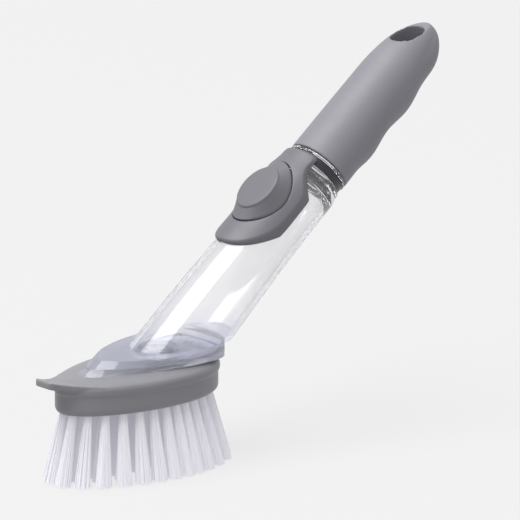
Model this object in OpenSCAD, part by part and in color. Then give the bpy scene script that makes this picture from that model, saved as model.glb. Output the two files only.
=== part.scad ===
/* [Head] */
// Length of the brush head block from toe to heel
head_length = 90; // [75:1:108]
// Greatest width of the brush head block
head_width = 50.2; // [44:0.2:60]
// Height of the block's side wall
wall_height = 13.4; // [11:0.2:16]
// Rise of the crowned deck above the side wall
crown_height = 3.2; // [2:0.1:4]
// Length of the tongue in front of the toe
tongue_length = 10.5; // [8:0.5:14]
// Width of the tongue near its tip
tongue_width = 12.6; // [10:0.2:16]

/* [Bristles] */
// Free height of the bristles below the block
bristle_length = 33; // [26:1:40]
// Number of tufts in the outer ring
outer_tufts_count = 28; // [20:2:28]
// Number of tufts in the inner ring
inner_tufts_count = 20; // [14:2:20]
// Number of tufts in the centre ring
centre_tufts_count = 14; // [10:2:14]
// Sideways reach of a tuft's tip from its root in the outer ring
outer_splay = 7.5; // [5:0.5:9]
// Radius of the circle of strand roots in one tuft
tuft_root_radius = 1.15; // [1:0.05:1.3]
// Radius of the circle of strand tips in one tuft
tuft_tip_radius = 2.3; // [1.8:0.1:2.6]
// Radius of one strand at its tip
strand_radius = 0.62; // [0.5:0.02:0.7]

/* [Foot and rail] */
// Width of the rail's flange under the foot
rail_width = 21; // [18:0.5:24]
// Width of the rail's web
web_width = 15; // [12:0.5:16]
// Thickness of the rail's flange
rail_thickness = 2.5; // [2:0.1:3]
// Thickness of the foot plate
plate_thickness = 2.8; // [2.4:0.1:3.4]
// Height of the clear band above the foot plate
band_height = 3.1; // [2.6:0.1:4]
// Radius of the soap valve's bore
valve_radius = 5; // [4:0.1:6]

/* [Chamber] */
// Angle between the handle and the head's long axis
handle_angle = 39; // [34:1:44]
// Outer diameter of the chamber tube behind the button
tube_diameter = 33; // [32.4:0.2:37]
// Length of the tube from the foot to the neck
tube_length = 110.5; // [105:0.5:130]
// Wall thickness of the tube
tube_wall = 2.4; // [2:0.1:2.8]
// Diameter of the spigot that carries the grip
spigot_diameter = 23; // [20:0.5:23.5]
// Length of the spigot behind the neck flanges
spigot_length = 17.5; // [14:0.5:21]

/* [Button] */
// Length of the button
button_length = 36; // [32:0.2:36.4]
// Width of the button
button_width = 26; // [22:0.2:27]
// Height of the button's top above the tube
button_height = 5.5; // [5:0.1:7]
// Distance that the button travels
button_travel = 3.5; // [2:0.1:3.6]
// Thickness of the button's surround
bezel_thickness = 2.15; // [1.8:0.05:2.6]

/* [Grip] */
// Length of the grip
grip_length = 90; // [75:0.5:107]
// Diameter of the grip at its open end
grip_diameter = 31.2; // [30.8:0.2:37]
// Taper of the grip's radius towards its far end
grip_taper = 1; // [0.6:0.1:2]
// Depth of the swelling under the grip
swell_depth = 1.7; // [1.2:0.1:3]
// Height of the ripple that forms the finger grooves
groove_ripple = 0.9; // [0.4:0.1:1.2]
// Length of the hang slot
slot_length = 17.6; // [15:0.2:20]
// Width of the hang slot
slot_width = 13.6; // [9:0.2:14]
// Thread lead of the grip for one turn
thread_lead = 4; // [3:0.5:5]

/* [Fits] */
// Gap between the rail and its channel
rail_gap = 0.3; // [0.2:0.05:0.4]
// Gap between the button and its surround
button_gap = 0.25; // [0.2:0.05:0.4]
// Gap between a clamped or plugged part and its seat
seat_gap = 0.1; // [0.05:0.05:0.15]
// Gap between the spigot and the grip's socket
socket_gap = 0.4; // [0.3:0.05:0.5]

/* [Hidden] */
$fn = 64;
egg_count = 64;

base_bottom = bristle_length;
wall_top = base_bottom + wall_height;
deck_top = wall_top + crown_height;
plate_top = deck_top + plate_thickness;
band_top = plate_top + band_height;

head_half = head_width / 2;
egg_middle = 0.567 * head_length;
tube_radius = tube_diameter / 2;
foot_radius = tube_radius + 1.6;
neck_radius = tube_radius - 0.8;

valve_x = 0.667 * head_length;
neck_x = 0.754 * head_length;
rail_start = 0.222 * head_length;
rail_end = 0.933 * head_length;
foot_half = 0.825 * head_half;

channel_floor = deck_top - 3 - rail_thickness - rail_gap;
flange_bottom = channel_floor + rail_gap;
flange_top = flange_bottom + rail_thickness;
lip_bottom = flange_top + rail_gap;

pocket_top = base_bottom + 2.1;
slice_bottom = base_bottom + 0.6;
slice_top = pocket_top;
slice_inset = 2.6;
soap_hole = 3;

button_t = tube_length - 23.2;
well_floor = tube_radius - 7.8;
well_bottom = tube_radius - 10;
seat_floor = tube_radius - 12.6;
seat_bottom = tube_radius - 14.8;
clamp_radius = 9.4;
flange_step = 1;
skirt_bottom = well_floor + button_travel + 0.3;
carrier_bottom = well_floor + 5.8;
carrier_top = carrier_bottom + 1.6;
tab_top = tube_radius - 0.5;
cap_top = tube_radius + button_height;
bezel_gap = 0.15;

collar_t = tube_length + 2;
seal_t = tube_length + 6.5;
flange_t = tube_length + 8;
spigot_t = flange_t + spigot_length;
grip_t = flange_t + 0.3;
spigot_radius = spigot_diameter / 2;
socket_radius = spigot_radius + socket_gap;
bore_radius = spigot_radius - 3;
washer_t = spigot_t + 2.6;
core_t = grip_t + 0.46 * grip_length;
core_wall = 1.7;

grip_radius = grip_diameter / 2;
cap_length = 42;
cap_power = 2.6;
cap_t = grip_t + grip_length - cap_length;
slot_tilt = 26.6;
slot_t = cap_t + 29.8;
slot_n = grip_radius - grip_taper - 6.7;

reach_power = cap_power / (cap_power - 1);
end_reach = pow(cap_length * cos(handle_angle), reach_power);
side_reach = pow((grip_radius - grip_taper + swell_depth - 0.41) * sin(handle_angle), reach_power);
grip_reach = neck_x + cap_t * cos(handle_angle) + pow(end_reach + side_reach, 1 / reach_power);
origin_x = (grip_reach - tongue_length) / 2;

clear_color = [0.86, 0.88, 0.95, 0.5];
grey_color = [0.45, 0.45, 0.47];
dark_color = [0.12, 0.12, 0.14];
white_color = [0.95, 0.95, 0.97];
steel_color = [0.7, 0.7, 0.72];

// Reach of a unit superellipse at an angle
function reach(angle, power) =
    pow(pow(abs(cos(angle)), power) + pow(abs(sin(angle)), power), -1 / power);

// One point of an egg outline, blunt at the heel and pointed at the toe
function egg_point(angle, middle, front, back, half, front_power, back_power) =
    let (toe = cos(angle) < 0)
    let (size = reach(angle, toe ? front_power : back_power))
    [middle + size * cos(angle) * (toe ? front : back), size * sin(angle) * half];

// Point of the head's outline, moved inwards
function head_point(angle, inset) =
    egg_point(angle, egg_middle, egg_middle - inset, head_length - egg_middle - inset, head_half - inset, 1.8, 2.4);

function head_outline(inset) = [for (i = [0:egg_count - 1]) head_point(i * 360 / egg_count, inset)];

// Outline of the clear foot, from its lower edge (0) to the top of its band (1)
function foot_outline(rise) =
    let (middle = head_length * (0.767 - 0.011 * rise))
    let (front = head_length * (0.142 + 0.125 * rise))
    let (back = head_length * (0.998 + 0.022 * rise))
    [for (i = [0:egg_count - 1])
        egg_point(i * 360 / egg_count, middle, middle - front, back - middle, foot_half + 0.6 * rise, 1.7, 4 - rise)];

function ellipse_points(length, width, count) =
    [for (i = [0:count - 1]) [length * cos(i * 360 / count), width * sin(i * 360 / count)]];

function smooth(x) = let (s = min(1, max(0, x))) s * s * (3 - 2 * s);

// Half width of the button's surround at a distance along the handle
function shield_half(t) =
    let (s = (t - button_t + 1.3) / 30)
    s < 0 ? 16.5 * pow(max(0, 1 - pow(-s, 2.5)), 0.4) : 16.5 - 5.9 * smooth((t - button_t - 6.7) / 17);

// Radius of the grip on its upper side
function grip_upper(t) =
    let (s = (t - grip_t) / (cap_t - grip_t))
    let (body = grip_radius - grip_taper * pow(min(1, s), 1.2))
    let (u = max(0, t - cap_t) / cap_length)
    body * pow(1 - pow(u, 2), 0.5);

// Radius of the grip on its lower side, which swells and has two finger grooves
function grip_lower(t) =
    let (s = smooth((t - grip_t - 2) / 16))
    let (u = max(0, t - cap_t) / cap_length)
    let (ripple = groove_ripple * cos(360 * (t - grip_t - 21) / (0.32 * grip_length)))
    (grip_radius - grip_taper * s + s * (swell_depth + ripple)) * pow(1 - pow(u, cap_power), 1 / cap_power);

// Closed solid through a list of rings that have equal counts of points, from the bottom up
module loft(rings) {
    count = len(rings[0]);
    top = (len(rings) - 1) * count;
    points = [for (ring = rings) for (p = ring) p];
    walls = [for (k = [0:len(rings) - 2]) for (i = [0:count - 1])
        let (a = k * count + i, b = k * count + (i + 1) % count)
        each [[a, a + count, b + count], [a, b + count, b]]];
    floor_face = [[for (i = [0:count - 1]) i]];
    top_face = [[for (i = [count - 1:-1:0]) top + i]];
    polyhedron(points = points, faces = concat(floor_face, walls, top_face));
}

function level(outline, z) = [for (p = outline) [p[0], p[1], z]];

// The head's frame moved so that the wand's box is centred on the origin
module placed() {
    translate([-origin_x, 0, 0])
        children();
}

// The handle's frame: Z runs up the handle and X points to the button's side
module on_handle() {
    placed()
        translate([neck_x, 0, deck_top])
            rotate([0, 90 - handle_angle, 0])
                rotate([0, 0, 180])
                    children();
}

// The button's frame: Z points out of the handle, and X runs down it
module on_button() {
    on_handle()
        translate([0, 0, button_t])
            rotate([0, 90, 0])
                children();
}

module disc(radius, low, high) {
    translate([0, 0, low])
        cylinder(r = radius, h = high - low);
}

module slab(outline, low, high) {
    translate([0, 0, low])
        linear_extrude(height = high - low)
            polygon(outline);
}

module washer(outer, inner, low, high) {
    difference() {
        disc(outer, low, high);
        disc(inner, low - 1, high + 1);
    }
}

module block(x0, x1, y_half, z0, z1) {
    translate([x0, -y_half, z0])
        cube([x1 - x0, 2 * y_half, z1 - z0]);
}

// Solid of the head block with its rounded lower edge, rim bead and crowned deck
module head_shell() {
    edge = 3;
    lower = [for (a = [90, 60, 30]) level(head_outline(edge * (1 - cos(a))), base_bottom + edge * (1 - sin(a)))];
    side = [level(head_outline(0), base_bottom + edge), level(head_outline(0), wall_top - 3.6)];
    bead = [level(head_outline(-0.7), wall_top - 2.9), level(head_outline(-0.8), wall_top - 0.5)];
    crown = [for (a = [0:15:75])
        level(head_outline(-0.5 + 10 * (1 - cos(a))), wall_top + crown_height * sin(a))];
    deck = [level(head_outline(9.5), deck_top)];
    loft(concat([level(head_outline(edge), base_bottom)], [lower[1], lower[2]], side, bead, crown, deck));
}

// Tongue in front of the toe that flares into the deck
module tongue() {
    tip = tongue_width / 2;
    corner = 2.5;
    outline = concat(
        [for (a = [180:15:270]) [corner - tongue_length + corner * cos(a), corner - tip + corner * sin(a)]],
        [for (s = [0:0.125:1]) [-7 + 21 * s, -tip - 10 * pow(s, 1.5)]],
        [for (s = [1:-0.125:0]) [-7 + 21 * s, tip + 10 * pow(s, 1.5)]],
        [for (a = [90:15:180]) [corner - tongue_length + corner * cos(a), tip - corner + corner * sin(a)]]);
    side = [[-tongue_length - 1, wall_top + 2.3], [-tongue_length - 1, wall_top + 5.2], [-tongue_length + 1, wall_top + 5.4],
        [-5, wall_top + 4], [1, wall_top + 2.7], [7, wall_top + 1.9], [14, wall_top + 1.3],
        [14, wall_top - 0.5], [1, wall_top - 0.5], [-3, wall_top + 0.6]];
    intersection() {
        slab(outline, wall_top - 2, deck_top + 6);
        rotate([90, 0, 0])
            linear_extrude(height = 60, center = true)
                polygon(side);
    }
}

module head_base() {
    color(grey_color)
        placed()
            difference() {
                union() {
                    head_shell();
                    tongue();
                }
                slab(head_outline(slice_inset), base_bottom - 1, pocket_top);
                block(rail_start, head_length + 5, rail_width / 2 + rail_gap, channel_floor, lip_bottom);
                block(rail_start, head_length + 5, web_width / 2 + rail_gap, lip_bottom - 0.5, deck_top + 2);
                translate([valve_x, 0, pocket_top - 0.5])
                    cylinder(r1 = soap_hole, r2 = valve_radius, h = channel_floor - pocket_top + 1);
            }
}

// One strand, thin at its root and thicker at its tip
module strand(root, tip, turn) {
    root_z = slice_bottom + 0.9;
    thin = 0.42;
    points = concat(
        [for (a = [0, 120, 240]) [tip[0] + strand_radius * cos(a + turn), tip[1] + strand_radius * sin(a + turn), 0]],
        [for (a = [0, 120, 240]) [root[0] + thin * cos(a + turn), root[1] + thin * sin(a + turn), root_z]]);
    polyhedron(points = points,
        faces = [[0, 1, 2], [5, 4, 3], [0, 3, 4], [0, 4, 1], [1, 4, 5], [1, 5, 2], [2, 5, 3], [2, 3, 0]]);
}

// One tuft of strands that spread from the root to the tip
module tuft(root, tip) {
    strand(root, tip, 0);
    for (a = [0:60:300])
        strand(root + tuft_root_radius * [cos(a), sin(a)], tip + tuft_tip_radius * [cos(a), sin(a)], a);
}

// Tufts along a ring of the head's outline, evenly spaced
module tuft_ring(inset, count, splay) {
    for (i = [0:count - 1])
        let (turn = (i + 0.5) * 360 / count)
        let (angle = turn + 9.5 * sin(2 * turn))
            tuft(head_point(angle, inset), head_point(angle, inset - splay));
}

module outer_tufts() {
    color(white_color)
        placed() {
            difference() {
                slab(head_outline(slice_inset + 0.1), slice_bottom, slice_top);
                slab(head_outline(8), slice_bottom - 1, slice_top + 1);
            }
            tuft_ring(5, outer_tufts_count, outer_splay);
        }
}

module inner_tufts() {
    color(white_color)
        placed() {
            difference() {
                slab(head_outline(8.1), slice_bottom, slice_top);
                slab(head_outline(14.6), slice_bottom - 1, slice_top + 1);
            }
            tuft_ring(11.4, inner_tufts_count, 0.55 * outer_splay);
        }
}

module centre_tufts() {
    color(white_color)
        placed() {
            difference() {
                slab(head_outline(14.7), slice_bottom, slice_top);
                translate([valve_x, 0, 0])
                    disc(soap_hole, slice_bottom - 1, slice_top + 1);
            }
            tuft_ring(17.8, centre_tufts_count, 0.2 * outer_splay);
            for (s = [0.33, 0.42, 0.51, 0.78])
                tuft([s * head_length, 0], [s * head_length, 0]);
        }
}

// Inside of the chamber tube, made smaller by a gap
module tube_inside(gap) {
    rotate_extrude()
        polygon([[0, -40], [foot_radius - tube_wall - gap, -40], [foot_radius - tube_wall - gap, 24],
            [tube_radius - tube_wall - gap, 73], [tube_radius - tube_wall - gap, tube_length - 8],
            [tube_radius - tube_wall - 1, tube_length - 5], [bore_radius, tube_length - 0.5],
            [bore_radius, spigot_t + 1], [0, spigot_t + 1]]);
}

module foot_plate() {
    boss_top = plate_top + 3;
    color(clear_color) {
        difference() {
            placed()
                union() {
                    loft([level(foot_outline(0), deck_top), level(foot_outline(0.47), plate_top)]);
                    block(rail_start + 0.1, rail_end, web_width / 2, flange_bottom, deck_top + 0.5);
                    block(rail_start + 0.1, rail_end, rail_width / 2, flange_bottom, flange_top);
                    translate([valve_x, 0, 0])
                        disc(valve_radius + 4.5, plate_top - 0.5, boss_top);
                }
            placed()
                translate([valve_x, 0, 0]) {
                    disc(valve_radius, flange_bottom - 1, boss_top + 1);
                    disc(valve_radius + 2.5, plate_top + 0.6, boss_top + 1);
                }
        }
        difference() {
            intersection() {
                on_handle()
                    tube_inside(0.2);
                placed()
                    block(20, 0.972 * head_length, 30, plate_top - 0.5, plate_top + 1.5);
            }
            on_handle()
                tube_inside(1.6);
            placed()
                block(0.945 * head_length, head_length, 30, plate_top, plate_top + 2);
        }
    }
}

module soap_valve() {
    lip = 1.2;
    color(dark_color)
        placed()
            translate([valve_x, 0, 0])
                difference() {
                    union() {
                        disc(valve_radius - 0.05, flange_bottom + 0.5, plate_top + 0.6);
                        disc(valve_radius + 2.4, plate_top + 0.6, plate_top + 1.8);
                    }
                    disc(valve_radius - 1.4, flange_bottom + 0.5 + lip, plate_top + 3);
                    block(-2.5, 2.5, 0.15, flange_bottom - 1, flange_bottom + 3);
                }
}

module valve_retainer() {
    color(white_color)
        placed()
            translate([valve_x, 0, 0])
                washer(valve_radius + 2.4, valve_radius - 0.6, plate_top + 1.8, plate_top + 3);
}

module ellipse_slab(length, width, low, high) {
    slab(ellipse_points(length, width, 48), low, high);
}

module chamber() {
    color(clear_color)
        difference() {
            union() {
                intersection() {
                    on_handle()
                        rotate_extrude()
                            polygon([[0, -40], [foot_radius, -40], [foot_radius, 24], [tube_radius, 73],
                                [tube_radius, tube_length - 3.5], [neck_radius, tube_length],
                                [neck_radius, collar_t], [spigot_radius + 1.4, collar_t],
                                [spigot_radius + 1.4, seal_t], [neck_radius - 0.2, seal_t],
                                [neck_radius - 0.2, flange_t], [spigot_radius, flange_t],
                                [spigot_radius, spigot_t], [0, spigot_t]]);
                    placed()
                        block(-50, 300, 60, band_top - 0.5, 400);
                }
                placed()
                    loft([level(foot_outline(0.47), plate_top), level(foot_outline(1), band_top)]);
            }
            difference() {
                on_handle()
                    tube_inside(0);
                on_button() {
                    ellipse_slab(button_length / 2 + 3.8, button_width / 2 + 2.6, well_bottom, tube_radius + 3);
                    disc(clamp_radius + 1.6, seat_bottom, well_bottom + 1);
                }
                placed()
                    block(0.98 * head_length, 200, 60, 0, band_top + 2.2);
            }
            on_button() {
                ellipse_slab(button_length / 2 + 2, button_width / 2 + 0.5, well_floor, tube_radius + 3);
                disc(clamp_radius + seat_gap, seat_floor, well_floor + 1);
                disc(7, seat_bottom - 1, seat_floor + 1);
            }
        }
}

module neck_seal() {
    color(dark_color)
        on_handle()
            washer(neck_radius - 0.9, spigot_radius + 1.5, collar_t, seal_t);
}

module button_bezel() {
    outer = tube_radius + bezel_gap + bezel_thickness;
    inner = tube_radius + bezel_gap;
    low = button_t - 31.3;
    high = tube_length + 5.5;
    slope = 1.6 * (73 - low) / 49;
    half = concat([for (s = [0:0.1:0.9]) low + 30 * s * s], [for (s = [0:0.1:1]) low + 30 + (high - low - 30) * s]);
    right = [for (t = half) [button_t - t, shield_half(t)]];
    left = [for (i = [len(half) - 1:-1:1]) [button_t - half[i], -shield_half(half[i])]];
    color(grey_color)
        difference() {
            intersection() {
                on_handle()
                    rotate([0, 0, 180])
                        rotate_extrude()
                            polygon([[inner + slope, low - 1], [outer + slope, low - 1], [outer, 73], [outer, tube_length - 6],
                                [neck_radius + 1.6, tube_length + 0.5], [neck_radius + 1.2, high + 1],
                                [neck_radius + bezel_gap, high + 1], [neck_radius + bezel_gap, tube_length],
                                [inner, tube_length - 3.5], [inner, 73]]);
                on_button()
                    slab(concat(right, left), 5, 40);
            }
            on_button()
                ellipse_slab(button_length / 2 + button_gap, button_width / 2 + button_gap, 5, 40);
        }
}

module pump_diaphragm() {
    hat = 6.2;
    color(dark_color)
        on_button()
            difference() {
                union() {
                    disc(clamp_radius - seat_gap, seat_floor, seat_floor + flange_step);
                    disc(hat, seat_floor, seat_floor + 4.2);
                }
                disc(hat - 0.9, seat_floor - 1, seat_floor + 3.3);
            }
}

module diaphragm_ring() {
    color(white_color)
        on_button()
            washer(clamp_radius - seat_gap, 6.6, seat_floor + flange_step, well_floor);
}

module button_spring() {
    color(steel_color)
        on_button()
            washer(8.6, 6.8, well_floor, carrier_bottom);
}

module button_carrier() {
    color(white_color)
        on_button() {
            ellipse_slab(button_length / 2 - 1.9, button_width / 2 - 1.9, carrier_bottom, carrier_top);
            disc(3.2, seat_floor + 4.4, carrier_bottom + 0.5);
            disc(5, carrier_top - 0.5, cap_top - 2.6);
        }
}

// The button's outer form: a skirt in the surround's opening and a cone above it
module cap_shell() {
    long = button_length / 2;
    wide = button_width / 2;
    count = 56;
    angles = [for (i = [0:count - 1]) i * 360 / count];
    around = tube_radius + bezel_gap + bezel_thickness + 0.5;
    skirt = [for (a = angles) [long * cos(a), wide * sin(a), skirt_bottom]];
    saddle = [for (a = angles) [long * cos(a), wide * sin(a), sqrt(around * around - pow(wide * sin(a), 2))]];
    shoulder = [for (a = angles) [(long - 5.4) * cos(a), (wide - 2.8) * sin(a), cap_top - 0.9]];
    edge = [for (a = angles) [(long - 5.9) * cos(a), (wide - 3.2) * sin(a), cap_top - 0.3]];
    face = [for (a = angles) [(long - 6.7) * cos(a), (wide - 3.9) * sin(a), cap_top]];
    loft([skirt, saddle, shoulder, edge, face]);
}

module button_cap() {
    long = button_length / 2 - 1.5;
    wide = button_width / 2 - 1.5;
    step = carrier_top + seat_gap;
    color(grey_color)
        on_button() {
            difference() {
                cap_shell();
                ellipse_slab(long, wide, skirt_bottom - 1, step);
                ellipse_slab(long - 5.2, wide - 3.4, step - 1, cap_top - 1.8);
            }
            washer(6.6, 5.1, step + 0.3, cap_top - 1);
            for (side = [-1, 1])
                block(side > 0 ? long + 0.5 : -long - 2.4, side > 0 ? long + 2.4 : -long - 0.5, 3.5, tab_top - 1.1, tab_top);
        }
}

module grip_seal() {
    color(dark_color)
        on_handle()
            washer(socket_radius - 0.3, bore_radius + 0.1, spigot_t, washer_t);
}

// Outside of the grip core, grown by a gap
module core_form(gap) {
    rotate_extrude()
        polygon([[0, grip_t - gap], [socket_radius + core_wall + gap, grip_t - gap],
            [socket_radius + 0.4 + gap, core_t + gap], [0, core_t + gap]]);
}

module grip_core() {
    color(dark_color)
        on_handle()
            difference() {
                core_form(0);
                disc(socket_radius, grip_t - 1, washer_t);
                disc(socket_radius - 2, washer_t + 2.5, core_t + 1);
            }
}

// Outer form of the grip: round above, swelling with finger grooves below
module grip_form() {
    count = 40;
    stations = concat([for (s = [0:0.04:0.999]) grip_t + (cap_t - grip_t) * s],
        [for (a = [0:8:88]) cap_t + cap_length * sin(a)]);
    loft([for (t = stations) [for (i = [0:count - 1])
        let (a = i * 360 / count)
        let (r = grip_upper(t) + (grip_lower(t) - grip_upper(t)) * max(0, -cos(a)))
        [r * cos(a), r * sin(a), t]]]);
}

// Slot through the end of the grip, square to its bevelled face
module hang_slot(length, width) {
    translate([slot_n, 0, slot_t])
        rotate([0, 90 - slot_tilt, 0])
            translate([0, 0, -60])
                linear_extrude(height = 100)
                    union() {
                        square([length - width, width], center = true);
                        for (side = [-1, 1])
                            translate([side * (length - width) / 2, 0])
                                circle(d = width);
                    }
}

module grip_cover() {
    color(grey_color)
        on_handle()
            difference() {
                grip_form();
                core_form(seat_gap);
                disc(socket_radius + core_wall + seat_gap, grip_t - 2, grip_t);
                translate([slot_n, 0, slot_t])
                    rotate([0, 90 - slot_tilt, 0])
                        translate([-40, -40, 0])
                            cube([80, 80, 40]);
                hang_slot(slot_length, slot_width);
            }
}

head_base();
outer_tufts();
inner_tufts();
centre_tufts();
foot_plate();
soap_valve();
valve_retainer();
chamber();
neck_seal();
button_bezel();
pump_diaphragm();
diaphragm_ring();
button_spring();
button_carrier();
button_cap();
grip_seal();
grip_core();
grip_cover();
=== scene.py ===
# %% [markdown]
# # Dish wand
#
# A dish wand is a brush that carries its own soap. A clear chamber leans over an egg-shaped head,
# a button on its side pumps the soap through the bristles, and a soft grip screws onto its end.
#
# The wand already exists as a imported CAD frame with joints. This lesson makes its visible pieces
# again with finer forms and real finishes, in the frame's own place. Each piece rides on a body
# of the frame, so the joints still move it.

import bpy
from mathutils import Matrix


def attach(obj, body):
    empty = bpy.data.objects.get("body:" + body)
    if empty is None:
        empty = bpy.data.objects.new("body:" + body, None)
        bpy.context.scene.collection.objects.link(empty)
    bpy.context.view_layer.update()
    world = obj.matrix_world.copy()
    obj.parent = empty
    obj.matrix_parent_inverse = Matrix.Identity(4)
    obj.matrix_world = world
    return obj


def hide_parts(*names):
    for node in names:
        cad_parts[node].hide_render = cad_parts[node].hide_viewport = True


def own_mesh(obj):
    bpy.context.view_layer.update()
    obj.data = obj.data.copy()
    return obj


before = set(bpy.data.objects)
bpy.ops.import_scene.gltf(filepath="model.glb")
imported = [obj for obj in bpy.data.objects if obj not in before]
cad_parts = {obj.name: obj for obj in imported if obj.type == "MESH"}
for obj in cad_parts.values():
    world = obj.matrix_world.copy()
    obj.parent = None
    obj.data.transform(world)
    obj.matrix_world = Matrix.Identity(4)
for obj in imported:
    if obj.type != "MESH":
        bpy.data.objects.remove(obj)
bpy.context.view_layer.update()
print("CAD nodes:", len(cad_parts))

# %% Modules
import itertools
import math

import bmesh
import bpy
import numpy as np
from mathutils import Vector

print("Blender", bpy.app.version_string)

# %% [markdown]
# ## Sizes
#
# All sizes are millimetres in the CAD model's own coordinates. X runs from the toe of the head,
# and Z up from the bristle tips. Distances along the handle are counted from the middle of the
# neck, where the leaning tube meets the head. `ORIGIN_X` moves everything into the frame.

# %% Driving sizes
MM = 0.001
ORIGIN_X = 111.244
HEAD_LENGTH, HEAD_HALF, EGG_MIDDLE = 90.0, 25.1, 51.03
BASE_BOTTOM, WALL_TOP, DECK_TOP = 33.0, 46.4, 49.6
PLATE_TOP, BAND_TOP = 52.4, 55.5
TUBE_RADIUS, FOOT_RADIUS, NECK_RADIUS = 16.5, 18.1, 15.7
TUBE_LENGTH, TUBE_WALL = 110.5, 2.4
SPIGOT_RADIUS, SPIGOT_BORE = 11.5, 8.5
BUTTON_T, CAP_TOP = 87.3, 22.0
GRIP_T, GRIP_RADIUS, GRIP_TAPER = 118.8, 15.6, 1.0
CAP_T, CAP_LENGTH = 166.8, 42.0
VALVE_X = 60.03
LEAN = math.radians(39)
print(f"handle {CAP_T + CAP_LENGTH:.0f} mm long, head {HEAD_LENGTH:.0f} by {2 * HEAD_HALF:.0f} mm")

# %% [markdown]
# ## Places on the handle
#
# Most of the wand is round about one leaning axis. It could be built upright and turned, but a
# turned object would leave its patterns behind in the export. So a function places points
# directly: it takes the distance out of the button's side, the distance across and the distance
# up the handle.

# %% From handle to head coordinates
NECK = np.array([67.86, 0.0, DECK_TOP])
UP_HANDLE = np.array([math.cos(LEAN), 0.0, math.sin(LEAN)])
OUT_BUTTON = np.array([-math.sin(LEAN), 0.0, math.cos(LEAN)])
ACROSS = np.array([0.0, -1.0, 0.0])


def on_handle(points):
    """Points given as (out of the button's side, across, up the handle)."""
    p = np.asarray(points, float)
    return NECK + p[..., :1] * OUT_BUTTON + p[..., 1:2] * ACROSS + p[..., 2:] * UP_HANDLE


print("grip's end at", on_handle([0, 0, CAP_T + CAP_LENGTH]).round(1))

# %% [markdown]
# ## Egg outlines
#
# Seen from above, the head and the clear foot are eggs: round at the heel and drawn out to the
# toe. A hand-drawn curve would do, but a formula ties the block, the foot and the rings of tufts
# to one shape. Each egg is two half superellipses that meet at its widest place, and the power
# of each half says how square it is.

# %% Outlines seen from above
TOE_POWER, HEEL_POWER = 1.8, 2.4


def superellipse(angle, power):
    c, s = np.abs(np.cos(angle)), np.abs(np.sin(angle))
    return (c**power + s**power) ** (-1 / power)


def egg(angle, middle, front, back, half, front_power, back_power):
    """Points of an egg outline, one for each angle."""
    toe = np.cos(angle) < 0
    size = np.where(toe, superellipse(angle, front_power), superellipse(angle, back_power))
    x = middle + size * np.cos(angle) * np.where(toe, front, back)
    return np.stack([x, size * np.sin(angle) * half], axis=1)


def head_outline(angle, inset):
    return egg(angle, EGG_MIDDLE, EGG_MIDDLE - inset, HEAD_LENGTH - EGG_MIDDLE - inset,
               HEAD_HALF - inset, TOE_POWER, HEEL_POWER)


def foot_outline(angle, rise):
    """The clear foot's outline, which grows from the plate's edge (0) to the band's top (1)."""
    middle = HEAD_LENGTH * (0.767 - 0.011 * rise)
    front = HEAD_LENGTH * (0.142 + 0.125 * rise)
    back = HEAD_LENGTH * (0.998 + 0.022 * rise)
    return egg(angle, middle, middle - front, back - middle, 0.825 * HEAD_HALF + 0.6 * rise, 1.7, 4 - rise)


RING = np.arange(192) * 2 * math.pi / 192
print("foot is", np.ptp(foot_outline(RING, 1), axis=0).round(1), "mm, from above")

# %% [markdown]
# ## Shader arithmetic
#
# A finish is a graph of nodes, and graphs are slow to read as code. One function makes any node,
# and one small class wraps its output, so that `noise * 0.12 + 0.5` adds the Math nodes itself.

# %% Nodes and values
def node(tree, kind, settings=None, inputs=None, output=0):
    """A node with its settings, then its inputs as numbers or Values. Gives one output as a Value."""
    made = tree.nodes.new(kind)
    for name, value in (settings or {}).items():
        setattr(made, name, value)
    for name, value in (inputs or {}).items():
        if isinstance(value, Value):
            tree.links.new(value.socket, made.inputs[name])
        else:
            made.inputs[name].default_value = value
    return Value(tree, made.outputs[output]) if made.outputs else None


class Value:
    """A socket that Python's operators work on."""

    def __init__(self, tree, socket):
        self.tree, self.socket = tree, socket

    def math(self, operation, first, second):
        return node(self.tree, "ShaderNodeMath", {"operation": operation}, {0: first, 1: second})

    def __add__(self, other):
        return self.math("ADD", self, other)

    __radd__ = __add__

    def __sub__(self, other):
        return self.math("SUBTRACT", self, other)

    def __rsub__(self, other):
        return self.math("SUBTRACT", other, self)

    def __mul__(self, other):
        return self.math("MULTIPLY", self, other)

    __rmul__ = __mul__

    def __pow__(self, exponent):
        return self.math("POWER", self, exponent)

    def clamp(self):
        return node(self.tree, "ShaderNodeClamp", inputs={0: self})

    def blend(self, low, high):
        """A colour mixed from low to high by this value."""
        low, high = (c if isinstance(c, Value) else (*c, 1) for c in (low, high))
        return node(self.tree, "ShaderNodeMix", {"data_type": "RGBA"}, {"Factor": self, 6: low, 7: high}, 2)


print("arithmetic: + - * **, clamp and blend")

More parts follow.
